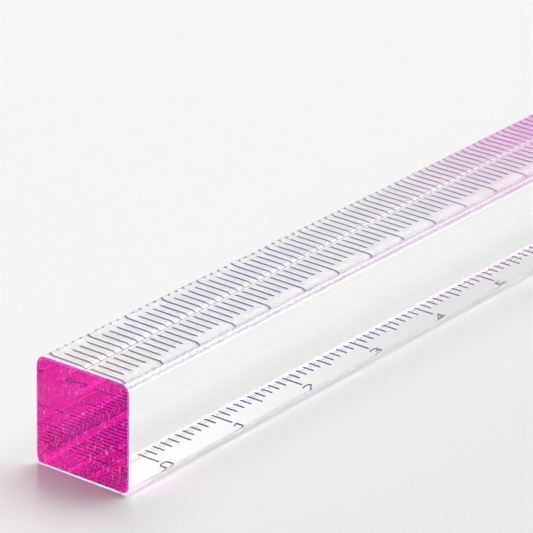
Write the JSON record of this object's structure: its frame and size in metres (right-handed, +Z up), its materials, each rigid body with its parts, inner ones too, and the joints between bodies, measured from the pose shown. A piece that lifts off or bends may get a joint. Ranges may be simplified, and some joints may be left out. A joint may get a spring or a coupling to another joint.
{
  "type": "square bar ruler",
  "caption": "Square clear acrylic bar ruler with a centimetre scale pressed into its underside and a translucent magenta film on each end.",
  "frame": {"origin": "middle of the underside, which is the face that carries the scale and rests on the work", "axes": "+Z up, away from the work; +Y along the scale towards the higher numbers; +X towards the side that the numerals are on"},
  "size_m": [0.01, 0.1632, 0.01],
  "materials": {
    "clear_acrylic": "clear colourless acrylic with polished faces, refractive index about 1.49",
    "magenta_film": "translucent magenta film with fine scratches and dust specks",
    "scale_pigment": "opaque hot-stamped pigment, brown at the zero end, dark blue-violet from 1 cm on and tinted magenta from the middle of the scale"
  },
  "bodies": {
    "root": {"acrylic_rod": "clear_acrylic", "zero_end_film": "magenta_film", "far_end_film": "magenta_film", "millimetre_lines": "scale_pigment", "half_centimetre_lines": "scale_pigment", "centimetre_lines": "scale_pigment", "numeral_0": "scale_pigment", "numeral_1": "scale_pigment", "numeral_2": "scale_pigment", "numeral_3": "scale_pigment", "numeral_4": "scale_pigment", "numeral_5": "scale_pigment", "numeral_6": "scale_pigment", "numeral_7": "scale_pigment", "numeral_8": "scale_pigment", "numeral_9": "scale_pigment", "numeral_10": "scale_pigment", "numeral_11": "scale_pigment", "numeral_12": "scale_pigment", "numeral_13": "scale_pigment", "numeral_14": "scale_pigment", "numeral_15": "scale_pigment"}
  },
  "joints": []
}
